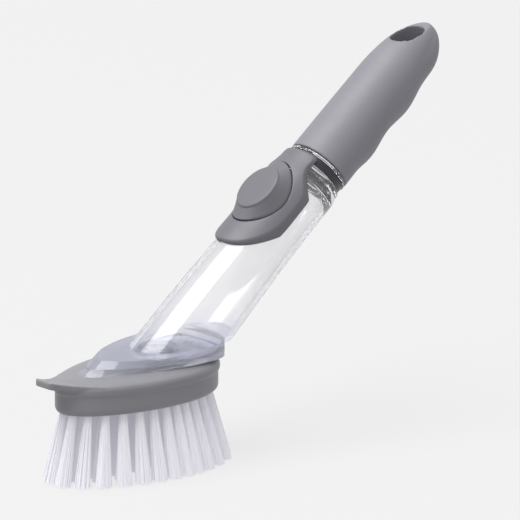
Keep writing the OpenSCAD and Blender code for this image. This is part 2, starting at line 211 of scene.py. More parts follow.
# %% A surface
class Surface:
    """A material with a Principled shader, patterned in the object's own metres."""

    def __init__(self, name, **settings):
        self.material = bpy.data.materials.new(name)
        self.material.use_nodes = True
        self.tree = self.material.node_tree
        self.shader = self.tree.nodes["Principled BSDF"]
        self.place = node(self.tree, "ShaderNodeTexCoord", output="Object")
        for key, value in settings.items():
            self.put(key.replace("_", " "), value)

    def put(self, name, value):
        socket = self.shader.inputs[name]
        if isinstance(value, Value):
            self.tree.links.new(value.socket, socket)
        else:
            socket.default_value = (*value, 1) if isinstance(value, tuple) else value

    def noise(self, scale, detail=2.0, stretch=None):
        place = self.place
        if stretch:
            place = node(self.tree, "ShaderNodeMapping", inputs={"Scale": stretch, "Vector": place})
        inputs = {"Scale": scale, "Detail": detail, "Vector": place}
        return node(self.tree, "ShaderNodeTexNoise", inputs=inputs)

    def height(self):
        """Height above the bristle tips, in metres."""
        return node(self.tree, "ShaderNodeSeparateXYZ", inputs={0: self.place}, output=2)

    def bump(self, value, distance, strength):
        inputs = {"Distance": distance, "Strength": strength, "Height": value}
        self.put("Normal", node(self.tree, "ShaderNodeBump", inputs=inputs))


print("patterns are in metres, on Object coordinates")

# %% [markdown]
# ## Moulded plastics and rubber
#
# The grip has a soft skin, the button and head are matt plastic, and the seals are black rubber.
# One flat colour would look computed. A slow noise moves each colour by a few hundredths, a
# finer one varies the gloss, and a third gives the skin its grain. The grain is a bump of
# hundredths of a millimetre, because it never changes the outline.

# %% Greys, black and white
GRAIN_STRENGTH = 0.35


def plastic(name, low, high, roughness, grain, depth):
    """Plastic whose colour runs from low to high, with a grain of this scale and depth."""
    surface = Surface(name)
    surface.put("Base Color", surface.noise(60, 3).blend(low, high))
    surface.put("Roughness", surface.noise(220, 2) * 0.12 + (roughness - 0.06))
    if depth:
        surface.bump(surface.noise(grain, 2), depth, GRAIN_STRENGTH)
    return surface.material


soft_grey = plastic("soft_grey", (0.205, 0.202, 0.226), (0.225, 0.222, 0.246), 0.55, 2600, 0.00005)
button_grey = plastic("button_grey", (0.136, 0.134, 0.150), (0.148, 0.146, 0.162), 0.5, 2200, 0.00004)
head_grey = plastic("head_grey", (0.215, 0.212, 0.228), (0.235, 0.232, 0.249), 0.42, 900, 0.00002)
seal_black = plastic("seal_black", (0.012, 0.012, 0.017), (0.020, 0.020, 0.028), 0.35, 900, 0.00002)
inner_white = plastic("inner_white", (0.78, 0.78, 0.80), (0.84, 0.84, 0.86), 0.4, 900, 0)
inner_grey = plastic("inner_grey", (0.10, 0.10, 0.115), (0.13, 0.13, 0.145), 0.45, 900, 0)
print("plastics:", [m.name for m in (soft_grey, button_grey, head_grey, seal_black, inner_white, inner_grey)])

# %% [markdown]
# ## Clear plastic
#
# The chamber is clear and nearly colourless, and its thick foot looks blue. Pure glass in a
# closed shape goes black where light is caught inside it. So a share of the light goes straight
# through (Alpha), a share is refracted (Transmission), and the rest is a faint haze. Where the
# wall is seen edge on, Layer Weight brings in a dark blue tint. It is partly the longer path
# through the plastic and partly a painted dark edge, which stands in for dark surroundings seen
# in refraction.

# %% Clear materials
# The edge tint is a painted dark edge, where the clear wall is seen edge on.
PAINTED_EDGE_TINT, PAINTED_EDGE_POWER = (0.22, 0.25, 0.48), 4
FOOT_FADE_HEIGHT, FOOT_FADE = 0.056, 120


def clear_plastic(name, tint, foot_tint, share, alpha, rough=0.0):
    """Clear plastic that refracts a share of the light and has a second tint in its foot."""
    surface = Surface(name, Roughness=rough, IOR=1.47, Alpha=alpha, Transmission_Weight=share)
    rise = ((surface.height() - FOOT_FADE_HEIGHT) * FOOT_FADE).clamp()
    # Painted dark edge: the colour turns to the dark edge tint where the wall is seen edge on.
    edge = node(surface.tree, "ShaderNodeLayerWeight", inputs={"Blend": 0.5}, output="Facing") ** PAINTED_EDGE_POWER
    surface.put("Base Color", edge.blend(rise.blend(foot_tint, tint), PAINTED_EDGE_TINT))
    return surface.material


clear = clear_plastic("clear", (0.99, 0.988, 1.0), (0.90, 0.91, 1.0), 0.94, 0.95)
clear_foot = clear_plastic("clear_foot", (0.90, 0.91, 1.0), (0.90, 0.91, 1.0), 0.72, 0.85)
silicone = clear_plastic("silicone", (0.86, 0.86, 0.90), (0.86, 0.86, 0.90), 0.5, 0.8, 0.3)
print("clear materials:", [m.name for m in (clear, clear_foot, silicone)])

# %% [markdown]
# ## Steel and nylon
#
# The spring is drawn wire, so it is a rough metal. The bristles are nylon, which carries light
# along its length: a tuft stays bright inside, where plain white strands would shade each other
# grey. Light scattered inside 16,000 strands would be slow to trace, so a weak glow stands in
# for it. It fades towards the roots, where less light arrives.

# %% Steel and bristle materials
BRISTLE_HEIGHT = 0.036


def steel_material():
    surface = Surface("steel", Roughness=0.28, Metallic=1.0)
    surface.put("Base Color", surface.noise(400, 2).blend((0.52, 0.52, 0.54), (0.62, 0.62, 0.64)))
    return surface.material


def bristle_material():
    """Nylon: white at the tips, greyed towards the roots by painted shade, and a little different from strand
    to strand.
    """
    surface = Surface("bristle", Roughness=0.5, Alpha=0.8, Emission_Strength=0.1)
    rise = (surface.height() * (1 / BRISTLE_HEIGHT)).clamp()
    # Painted shade: base colour and glow darken towards the roots. The noise is a random tone from strand to
    # strand.
    shadow = (surface.noise(900, 1, (1, 1, 0.06)) * 0.35 + rise**1.6 * 0.35).clamp()
    surface.put("Base Color", shadow.blend((0.95, 0.94, 0.97), (0.80, 0.79, 0.84)))
    surface.put("Emission Color", shadow.blend((0.95, 0.94, 1.0), (0.45, 0.44, 0.50)))
    return surface.material


steel = steel_material()
bristle = bristle_material()
print("materials in all:", len(bpy.data.materials))

# %% [markdown]
# ## Meshes from rings
#
# Nearly every piece of the wand can be drawn as a stack of closed rings. Curves with a bevel, or
# sculpting, could give such forms too, but rings of points follow a formula exactly. `solid`
# makes a mesh with its faces outwards, and `shade` keeps the real edges sharp.

# %% Solids and lofts
def shade(obj, sharp=32):
    """Smooth shading, with edges kept sharp above this angle."""
    bm = bmesh.new()
    bm.from_mesh(obj.data)
    for face in bm.faces:
        face.smooth = True
    for edge in bm.edges:
        edge.smooth = len(edge.link_faces) == 2 and edge.calc_face_angle(0) < math.radians(sharp)
    bm.to_mesh(obj.data)
    bm.free()
    return obj


def solid(name, points, faces, material, sharp=32):
    """A mesh object from CAD millimetres."""
    p = np.asarray(points, float) - [ORIGIN_X, 0, 0]
    mesh = bpy.data.meshes.new(name)
    mesh.from_pydata((p * MM).tolist(), [], faces)
    mesh.validate()
    mesh.materials.append(material)
    obj = bpy.data.objects.new(name, mesh)
    bpy.context.scene.collection.objects.link(obj)
    bm = bmesh.new()
    bm.from_mesh(mesh)
    bmesh.ops.recalc_face_normals(bm, faces=bm.faces)
    bm.to_mesh(mesh)
    bm.free()
    return shade(obj, sharp)


def loft(name, rings, material, sharp=32, ring_shaped=False):
    """A closed solid through rings of equal counts of points."""
    count, levels = len(rings[0]), len(rings)
    faces = []
    for k in range(levels if ring_shaped else levels - 1):
        a, b = k * count, (k + 1) % levels * count
        faces += [(a + i, a + (i + 1) % count, b + (i + 1) % count, b + i) for i in range(count)]
    if not ring_shaped:
        faces.append(tuple(range(count))[::-1])
        faces.append(tuple(range((levels - 1) * count, levels * count)))
    return solid(name, np.concatenate(rings), faces, material, sharp)


print("sharp edges start at 32 degrees")

# %% Turned, boxed and extruded solids
def revolve(name, profile, material, count=128, sharp=32):
    """A solid of revolution about the handle's axis, from (radius, distance) points."""
    angle = np.arange(count) * 2 * math.pi / count
    c, s, level = np.cos(angle), np.sin(angle), np.ones(count)
    rings = [on_handle(np.column_stack([r * c, r * s, t * level])) for r, t in profile]
    return loft(name, rings, material, sharp)


def box(name, low, high, place=None):
    corners = np.array(list(itertools.product(*zip(low, high))))
    faces = [(0, 1, 3, 2), (4, 6, 7, 5), (0, 4, 5, 1), (2, 3, 7, 6), (0, 2, 6, 4), (1, 5, 7, 3)]
    return solid(name, place(corners) if place else corners, faces, clear)


def prism(name, outline, low, high, place=None, material=None):
    """An outline extruded from low to high, then placed by a function of (x, y, z) points."""
    rings = [np.column_stack([outline, np.full(len(outline), z)]) for z in (low, high)]
    return loft(name, [place(ring) if place else ring for ring in rings], material or clear)


print("three ways to a solid: revolve, box and prism")

# %% [markdown]
# ## Cutting, joining and softening
#
# Moulded pieces have pockets, slots and webs. Booleans make them here as a mould maker cuts them,
# because each cut keeps its own size. `soften` then rebuilds a solid on a fine grid and smooths
# it, which rounds every edge at once, as plastic comes out of a mould. It suits the opaque
# pieces. The clear ones stay as cut, because a grid would show in their refraction.

# %% Booleans and soft edges
def bake(obj):
    """The object's modifiers turned into plain mesh."""
    graph = bpy.context.evaluated_depsgraph_get()
    mesh = bpy.data.meshes.new_from_object(obj.evaluated_get(graph))
    obj.modifiers.clear()
    obj.data = mesh
    return obj


def carve(obj, operation, *others):
    for other in others:
        modifier = obj.modifiers.new("carve", "BOOLEAN")
        modifier.operation = operation
        modifier.solver = "MANIFOLD"
        modifier.object = other
        bake(obj)
        bpy.data.objects.remove(other)
    return obj


def soften(obj, grid, rounds):
    """Round a solid's edges on a grid of this many millimetres."""
    material = obj.data.materials[0]
    remesh = obj.modifiers.new("grid", "REMESH")
    remesh.mode = "VOXEL"
    remesh.voxel_size = grid * MM
    smooth = obj.modifiers.new("smooth", "SMOOTH")
    smooth.factor = 0.5
    smooth.iterations = rounds
    bake(obj)
    obj.data.materials.clear()
    obj.data.materials.append(material)
    return shade(obj, 80)


def settle(obj, body, slot, *nodes):
    """Put a finished piece on its body, in place of CAD nodes, and print its size."""
    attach(obj, body)
    if nodes:
        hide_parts(*nodes)
    place = np.empty(len(obj.data.vertices) * 3, np.float32)
    obj.data.vertices.foreach_get("co", place)
    size = np.ptp(place.reshape(-1, 3), axis=0) / MM
    print(f"{obj.name}: {len(obj.data.polygons)} faces, {size[0]:.1f} x {size[1]:.1f} x {size[2]:.1f} mm")
    return obj


# %% [markdown]
# ## Grip cover
#
# The cover is soft rubber over a rigid core. Its upper side is a plain taper that bends over into
# the rounded end. Its under side swells and has finger grooves, a cosine ripple with one groove
# every 28.8 mm. It could be sculpted, but the hand's spacing is regular, so a formula gives the
# radius at each place, and the rings are lofted.

# %% Cross-sections of the grip
SWELL, RIPPLE, RIPPLE_PITCH, FIRST_CREST = 1.7, 0.9, 28.8, 21
END_POWER = 2.6


def smooth_step(x):
    x = np.clip(x, 0, 1)
    return x * x * (3 - 2 * x)


def grip_section(t, count=96):
    body = GRIP_RADIUS - GRIP_TAPER * min(1, (t - GRIP_T) / (CAP_T - GRIP_T)) ** 1.2
    u = max(0, t - CAP_T) / CAP_LENGTH
    upper = body * (1 - u**2) ** 0.5
    fade = smooth_step((t - GRIP_T - 2) / 16)
    ripple = RIPPLE * math.cos(2 * math.pi * (t - GRIP_T - FIRST_CREST) / RIPPLE_PITCH)
    lower = (GRIP_RADIUS + fade * (SWELL + ripple - GRIP_TAPER)) * (1 - u**END_POWER) ** (1 / END_POWER)
    angle = np.arange(count) * 2 * math.pi / count
    r = upper + (lower - upper) * np.maximum(0, -np.cos(angle)) ** 1.1
    return on_handle(np.stack([r * np.cos(angle), r * np.sin(angle), np.full(count, t)], 1))


stations = list(np.linspace(GRIP_T, CAP_T, 60)[:-1])
stations += [CAP_T + CAP_LENGTH * math.sin(math.radians(a)) for a in np.linspace(0, 88, 30)]
grip = loft("grip", [grip_section(t) for t in stations], soft_grey)
print("grip lofted through", len(stations), "rings")

# %% [markdown]
# The end is cut off at a slant, and a slot runs through the slanted face to hang the wand from a
# hook. The cuts are placed in the slant's own coordinates, so that face and slot stay in line.

# %% Bevel, slot and bore
BEVEL = math.radians(26.6)
SLOT_T, SLOT_N = 196.6, 7.9
SLOT_LENGTH, SLOT_WIDTH = 17.6, 13.6
BORE_MOUTH, BORE_END, BORE_DEPTH = 13.7, 12.4, 159.9


def on_bevel(points):
    """Points given as (down the bevel, across, out of the bevel) from the slot's centre."""
    p = np.asarray(points, float)
    n = SLOT_N + p[:, 0] * math.sin(BEVEL) + p[:, 2] * math.cos(BEVEL)
    t = SLOT_T - p[:, 0] * math.cos(BEVEL) + p[:, 2] * math.sin(BEVEL)
    return on_handle(np.column_stack([n, p[:, 1], t]))


def stadium(length, width, count=24):
    half = (length - width) / 2
    turn = np.linspace(-math.pi / 2, math.pi / 2, count)
    right = np.column_stack([half + width / 2 * np.cos(turn), width / 2 * np.sin(turn)])
    return np.concatenate([right, -right])


carve(grip, "DIFFERENCE",
      box("bevel_cut", (-40, -40, 0), (40, 40, 40), on_bevel),
      prism("slot_cut", stadium(SLOT_LENGTH, SLOT_WIDTH), -60, 40, on_bevel),
      revolve("bore_cut", [(BORE_MOUTH, GRIP_T - 3), (BORE_MOUTH, GRIP_T), (BORE_END, BORE_DEPTH)], clear))
soften(grip, 0.5, 8)
settle(grip, "grip", "soft_grip", "grip_cover")

# %% [markdown]
# ## Head block
#
# The block holds the tufts. Its wall rises past a small bead and rolls over into a crowned deck,
# so its rings follow a side profile: an inset from the egg outline at each height. The round
# stretches of the profile are arcs.

# %% Rings of the block
EDGE_ROUND, CROWN_INSET, CROWN_RISE = 3, 10, 3.2


def head_ring(inset, z):
    return np.column_stack([head_outline(RING, inset), np.full(len(RING), z)])


profile = [(EDGE_ROUND, BASE_BOTTOM)]
profile += [(EDGE_ROUND * (1 - math.cos(a)), BASE_BOTTOM + EDGE_ROUND * (1 - math.sin(a)))
            for a in np.radians([75, 60, 45, 30, 15])]
profile += [(0, BASE_BOTTOM + EDGE_ROUND), (0, WALL_TOP - 3.5), (-0.7, WALL_TOP - 2.9),
            (-0.8, WALL_TOP - 0.5)]
profile += [(-0.5 + CROWN_INSET * (1 - math.cos(a)), WALL_TOP + CROWN_RISE * math.sin(a))
            for a in np.radians(range(0, 85, 8))]
profile += [(9.5, DECK_TOP)]
head = loft("head", [head_ring(*p) for p in profile], head_grey)
print("block lofted through", len(profile), "rings")

# %% [markdown]
# The tongue at the toe is where a thumb pushes the head off. It flares out of the deck in plan
# and dips in side view. Two flat shapes are easier to draw right than one curved one, so the
# tongue is the part that both shapes share.

# %% Tongue
TONGUE_LENGTH, TONGUE_TIP, CORNER, FLARE = 10.5, 6.3, 2.5, 10


def side_on(points):
    """Points given as (X, Z, across)."""
    return np.asarray(points, float)[:, [0, 2, 1]]


corner = np.radians(np.arange(180, 271, 10))
flare = np.linspace(0, 1, 12)
near = np.concatenate([
    np.column_stack([CORNER - TONGUE_LENGTH + CORNER * np.cos(corner),
                     CORNER - TONGUE_TIP + CORNER * np.sin(corner)]),
    np.column_stack([-7 + 21 * flare, -TONGUE_TIP - FLARE * flare**1.5])])
tongue_plan = np.concatenate([near, near[::-1] * [1, -1]])
tongue_side = np.array([[-11.5, 48.7], [-11.5, 51.6], [-9.5, 51.8], [-5, 50.4], [1, 49.1], [7, 48.3],
                        [14, 47.7], [14, 45.9], [1, 45.9], [-3, 47.0]])
tongue = carve(prism("tongue", tongue_plan, 44, 56, material=head_grey), "INTERSECT",
               prism("tongue_side", tongue_side, -30, 30, side_on))
carve(head, "UNION", tongue)
print("tongue reaches", TONGUE_LENGTH, "mm past the toe")

# %% [markdown]
# The block slides onto the clear foot. Its T-shaped channel runs out through the heel, and a
# tapered hole below the valve lets the soap through to the bristles.

# %% Channel, pocket and soap hole
CHANNEL_START, CHANNEL_HALF, LIP_HALF = 20, 10.8, 7.8


def round_ring(radius, z):
    """A level circle about the valve's axis."""
    return np.column_stack([VALVE_X + radius * np.cos(RING), radius * np.sin(RING), np.full(len(RING), z)])


carve(head, "DIFFERENCE",
      prism("pocket", head_outline(RING, 2.6), 32, 35.1),
      box("channel", (CHANNEL_START, -CHANNEL_HALF, 43.8), (95, CHANNEL_HALF, 46.9)),
      box("channel_mouth", (CHANNEL_START, -LIP_HALF, 46.4), (95, LIP_HALF, 51.6)),
      loft("soap_hole", [round_ring(3, 34.6), round_ring(5, 44.8)], clear))
soften(head, 0.42, 5)
settle(head, "head", "head_plastic", "head_base")

# %% [markdown]
# ## Chamber
#
# The chamber is one clear moulding: a leaning tube, a flat band at its foot, two flanges round
# the neck and a spigot for the grip. The tube is a solid of revolution, cut level at the band.
# Its inside is a second, smaller solid, so that the wall has two faces and refracts like a real
# one. A single face would look like a soap bubble.

# %% Outside of the chamber
def foot_ring(rise, z):
    return np.column_stack([foot_outline(RING, rise), np.full(len(RING), z)])


tube = [(FOOT_RADIUS, -40), (FOOT_RADIUS, 24), (17.6, 40), (17.0, 56), (TUBE_RADIUS, 73), (TUBE_RADIUS, 107),
        (16.2, 109), (NECK_RADIUS, TUBE_LENGTH)]
flanges = [(NECK_RADIUS, 112.2), (15.4, 112.5), (12.9, 112.5), (12.9, 117), (15.2, 117), (15.5, 117.3),
           (15.5, 118.2), (15.2, 118.5)]
spigot = [(SPIGOT_RADIUS, 118.5), (SPIGOT_RADIUS, 135.6), (11.1, 136)]
outer = revolve("chamber", tube + flanges + spigot, clear)
carve(outer, "INTERSECT", box("above", (-50, -60, BAND_TOP - 0.5), (300, 60, 400)))
band_rings = [foot_ring(0.47, PLATE_TOP), foot_ring(0.97, BAND_TOP - 0.25), foot_ring(1.0, BAND_TOP)]
band = loft("band", band_rings, clear)
carve(outer, "UNION", band)
print("outside of the chamber:", len(outer.data.polygons), "faces")

# %% [markdown]
# The button's parts sit in a well that is sunk into the tube. The well's wall is left standing
# when the inside is hollowed, so the hollow itself has the well cut out of it first.

# %% Inside of the chamber
WELL_FLOOR, WELL_BOTTOM, SEAT_FLOOR, SEAT_BOTTOM = 8.7, 6.5, 3.9, 1.7


def tube_profile(gap):
    """The tube's inside, smaller by a gap."""
    foot, tube = FOOT_RADIUS - TUBE_WALL - gap, TUBE_RADIUS - TUBE_WALL - gap
    return [(foot, -40), (foot, 24), (foot - 0.5, 40), (foot - 1.1, 56), (tube, 73), (tube, 100),
            (tube - 0.4, 103), (12.6, 105.5), (11.2, 107.6), (9.6, 109.2), (SPIGOT_BORE, 110),
            (SPIGOT_BORE, 137)]


def ellipse(long, wide, count=96):
    angle = np.arange(count) * 2 * math.pi / count
    return np.column_stack([long * np.cos(angle), wide * np.sin(angle)])


def on_button(points):
    """Points given as (down the handle, across, out of the button's side)."""
    p = np.asarray(points, float)
    return on_handle(np.column_stack([p[:, 2], p[:, 1], BUTTON_T - p[:, 0]]))


cavity = revolve("cavity", tube_profile(0), clear)
carve(cavity, "DIFFERENCE",
      prism("well", ellipse(21.8, 15.6), WELL_BOTTOM, 22, on_button),
      prism("seat", ellipse(11, 11), SEAT_BOTTOM, 7.5, on_button),
      box("chin", (88.2, -60, 0), (200, 60, BAND_TOP + 2.2)))
carve(outer, "DIFFERENCE", cavity,
      prism("pocket", ellipse(20, 13.5), WELL_FLOOR, 25, on_button),
      prism("seat_bore", ellipse(9.5, 9.5), SEAT_FLOOR, 9.7, on_button),
      prism("hole", ellipse(7, 7), 0.7, 4.9, on_button))
print("chamber with its hollow:", len(outer.data.polygons), "faces")

# %% [markdown]
# The band's faces take the hazier foot material, because the real band is the thickest plastic
# of the chamber. A second object would leave a seam between tube and band.

# %% Two materials on one piece
outer.data.materials.append(clear_foot)
for face in outer.data.polygons:
    if face.center.z < (BAND_TOP + 0.1) * MM:
        face.material_index = 1
shade(outer, 24)
settle(outer, "wand", "clear_plastic", "chamber")

# %% [markdown]
# ## Foot plate
#
# A clear plate closes the chamber from below. It carries the T-shaped rail that the head slides
# on, a boss for the soap valve, and a rib that fits inside the tube. The rib is the gap between
# two tubes, cut to a level slab, so it follows the leaning wall by itself.

# %% Plate, rail, boss and rib
RAIL_START, RAIL_HALF, WEB_HALF = 20.1, 10.5, 7.5
VALVE_BORE, VALVE_SEAT, BOSS_RADIUS = 5, 7.5, 9.5

plate_rings = [foot_ring(0, DECK_TOP), foot_ring(0.44, PLATE_TOP - 0.2), foot_ring(0.46, PLATE_TOP)]
plate = loft("foot_plate", plate_rings, clear_foot)
circle = ellipse(1, 1)
centre = [VALVE_X, 0]
carve(plate, "UNION",
      box("web", (RAIL_START, -WEB_HALF, 44.1), (84, WEB_HALF, 50.1)),
      box("rail", (RAIL_START, -RAIL_HALF, 44.1), (84, RAIL_HALF, 46.6)),
      prism("boss", circle * BOSS_RADIUS + centre, 51.9, 55.4))
rib = revolve("rib", tube_profile(0.2), clear)
carve(rib, "INTERSECT", box("rib_slab", (20, -30, 51.9), (87.5, 30, 53.9)))
carve(rib, "DIFFERENCE",
      revolve("rib_inside", tube_profile(1.6), clear),
      box("rib_end", (85, -30, 52.4), (90, 30, 54.4)))
carve(plate, "UNION", rib)
carve(plate, "DIFFERENCE",
      prism("valve_bore", circle * VALVE_BORE + centre, 43, 57),
      prism("valve_seat", circle * VALVE_SEAT + centre, 53, 57))
shade(plate, 24)
settle(plate, "wand", "clear_plastic", "foot_plate")

# %% [markdown]
# ## Button surround
#
# A thin saddle clings to the tube round the button. From above it is a shield: round below and
# drawn in to a tab above, where it runs under the grip. Cutting it from a thick shell would
# leave hard edges. Instead each ring runs round the button, and the rings step outwards from
# the oval opening to the shield's edge, while the thickness rolls off towards both.

# %% Shield outline and thickness
SURROUND_HALF, SURROUND_REACH = 16.5, 30


def shield_half(t):
    """Half the shield's width along the handle."""
    s = (t - BUTTON_T + 1.3) / SURROUND_REACH
    low = SURROUND_HALF * np.maximum(0, 1 - np.abs(np.minimum(s, 0)) ** 2.5) ** 0.4
    return np.where(s < 0, low, SURROUND_HALF - 5.9 * smooth_step((t - BUTTON_T - 6.7) / 17))


def surround_radius(t):
    """Inner and outer radius of the surround along the handle."""
    inner = np.interp(t, [55, 73, 107, 110.5, 117], [17.24, 16.65, 16.65, 15.85, 15.85])
    outer = np.interp(t, [55, 73, 104.5, 111, 117], [19.4, 18.8, 18.8, 17.4, 16.9])
    return inner, outer


print(f"shield is {2 * shield_half(np.array(BUTTON_T)):.1f} mm wide at the button")

# %% Rings of the surround
OPENING_LONG, OPENING_WIDE, TAB_END = 18.25, 13.25, 116


def surround_rings(count=240):
    along = np.concatenate([BUTTON_T - 1.3 - SURROUND_REACH * np.cos(np.linspace(0, math.pi / 2, 80)),
                            np.linspace(86, 115.4, 80)[1:]])
    rim = np.column_stack([along - BUTTON_T, shield_half(along)])
    rim = np.concatenate([rim, np.column_stack([np.full(30, TAB_END - BUTTON_T), np.linspace(9.8, 0, 30)])])
    heading = np.arctan2(rim[:, 1], rim[:, 0])
    order = np.argsort(heading)
    angle = np.arange(count) * 2 * math.pi / count
    folded = np.abs((angle + math.pi) % (2 * math.pi) - math.pi)
    far = np.interp(folded, heading[order], np.hypot(*rim[order].T))
    c, s = np.cos(angle), np.sin(angle)
    near_edge = 1 / np.hypot(c / OPENING_LONG, s / OPENING_WIDE)

    def ring(share, lift):
        """The ring at a share of the way outwards, lifted from the inner to the outer radius."""
        r = near_edge + (far - near_edge) * share
        t, y = BUTTON_T + r * c, r * s
        low, high = surround_radius(t)
        radius = low + (high - low) * lift
        return on_handle(np.column_stack([np.maximum(5, np.sqrt(radius**2 - y**2)), y, t]))

    def roll(share):
        """Thickness that rolls off over the last 6 per cent inwards and 12 per cent outwards."""
        return 0.12 + 0.88 * (1 - (1 - min(1, min(share / 0.06, (1 - share) / 0.12))) ** 2) ** 0.5

    inner_edge, outer_edge = [0, 0.008, 0.02, 0.04], [0.88, 0.92, 0.95, 0.975, 0.99, 1]
    shares = np.concatenate([inner_edge, np.linspace(0.08, 0.84, 12), outer_edge])
    return [ring(u, roll(u)) for u in shares] + [ring(u, 0) for u in np.linspace(1, 0, 15)]


surround = loft("bezel", surround_rings(), button_grey, 50, ring_shaped=True)
settle(surround, "wand", "grey_plastic", "button_bezel")

# %% [markdown]
# ## Button
#
# The cap is a thin oval hat whose skirt slopes in to a rounded face. The skirt's lower edge has
# to follow the round tube, so it can't be cut flat. The rings of the cap carry their own height
# at each angle instead. They go up the inside and come back down the outside.

# %% Button cap
CAP_LONG, CAP_WIDE, SKIRT_SADDLE = 18, 13, 19.3


def cap_rings(count=160):
    angle = np.arange(count) * 2 * math.pi / count
    c, s = np.cos(angle), np.sin(angle)

    def ring(long, wide, height):
        return on_button(np.column_stack([long * c, wide * s, np.broadcast_to(height, count)]))

    saddle = np.sqrt(SKIRT_SADDLE**2 - (CAP_WIDE * s) ** 2)
    rings = [ring(CAP_LONG - 0.2, CAP_WIDE - 0.2, 12.5), ring(CAP_LONG, CAP_WIDE, 12.7),
             ring(CAP_LONG, CAP_WIDE, saddle - 0.4), ring(CAP_LONG - 0.08, CAP_WIDE - 0.08, saddle)]
    for u in (0.12, 0.3, 0.5, 0.7, 0.86):
        height = saddle + (CAP_TOP - 1.0 - saddle) * u
        rings.append(ring(17.9 - 5.3 * u, 12.9 - 2.7 * u, height))
    for a in np.radians([0, 18, 36, 54, 72, 88]):
        height = CAP_TOP - 0.95 + 0.95 * math.sin(a)
        rings.append(ring(11.4 + 1.1 * math.cos(a), 9.1 + 1.05 * math.cos(a), height))
    rings += [ring(7.5, 6, CAP_TOP + 0.03), ring(0.4, 0.3, CAP_TOP + 0.05)]
    inside = [ring(0.4, 0.3, 20.2), ring(11, 8.1, 20.2), ring(11.2, 8.3, 16.3), ring(16.5, 11.5, 16.2),
              ring(16.5, 11.5, 12.5)]
    return inside + rings


button = loft("button", cap_rings(), button_grey, 40)
settle(button, "button", "soft_grip", "button_cap")

# %% [markdown]
# ## Return spring
#
# A coil of steel wire pushes the button back. A curve with a round bevel would make it, but the
# rings of the wire can be placed on the helix directly.

# %% Spring
SPRING_RADIUS, SPRING_HEIGHT, SPRING_TURNS, WIRE = 7.7, 5.8, 4.5, 0.55


def coil(steps=260, sides=10):
    u = np.linspace(0, 1, steps)
    angle = u * SPRING_TURNS * 2 * math.pi
    height = WELL_FLOOR + WIRE + (SPRING_HEIGHT - 2 * WIRE) * u
    middle = np.column_stack([SPRING_RADIUS * np.cos(angle), SPRING_RADIUS * np.sin(angle), height])
    outward = np.column_stack([np.cos(angle), np.sin(angle), np.zeros(steps)])
    turn = np.arange(sides) * 2 * math.pi / sides
    upward = np.outer(np.sin(turn), [0, 0, 1])
    rings = [on_button(point + WIRE * (np.outer(np.cos(turn), way) + upward))
             for point, way in zip(middle, outward)]
    return loft("spring", rings, steel, 60)


spring = settle(coil(), "wand", "spring_steel", "button_spring")

# %% Parts that get a mesh of their own
SPRING_KEEP, DIAPHRAGM_KEEP = 0.38, 0.16


def press(obj, keep):
    """Give the object a mesh of its own."""
    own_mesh(obj)
    print(f"{obj.name} keeps {keep:.0%} of its height")


press(spring, SPRING_KEEP)
press(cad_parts["pump_diaphragm"], DIAPHRAGM_KEEP)

# %% [markdown]
# ## Small parts kept from the frame
#
# The valve, seals and rings are plain turned parts that are mostly hidden. Their CAD form is
# already right, so they only take a material here.

# %% Materials on the kept parts
KEPT = {
    "soap_valve": silicone,
    "valve_retainer": clear,
    "neck_seal": seal_black,
    "pump_diaphragm": seal_black,
    "diaphragm_ring": inner_white,
    "button_carrier": inner_white,
    "grip_seal": seal_black,
    "grip_core": inner_grey,
}
for name, material in KEPT.items():
    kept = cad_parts[name]
    kept.data.materials.clear()
    kept.data.materials.append(material)
    shade(kept, 30)
print("kept from the frame:", ", ".join(KEPT))

# %% [markdown]
# ## Bristles
#
# A tuft is a bundle of nylon strands that are stapled into the block together. They stand close
# at the root and spread towards the tips. Hair would be quick, but it can't be exported as a
# mesh. Geometry Nodes puts a thin tapered cone on every point of a cloud instead. Each point
# carries the way its strand leans, and the tree turns and stretches the cone to fit. The result
# is realized and made a plain mesh.

# %% A tree that grows strands
STRAND_SIDES, TIP_TAPER, FULL_TURN = 5, 0.8, 6.28


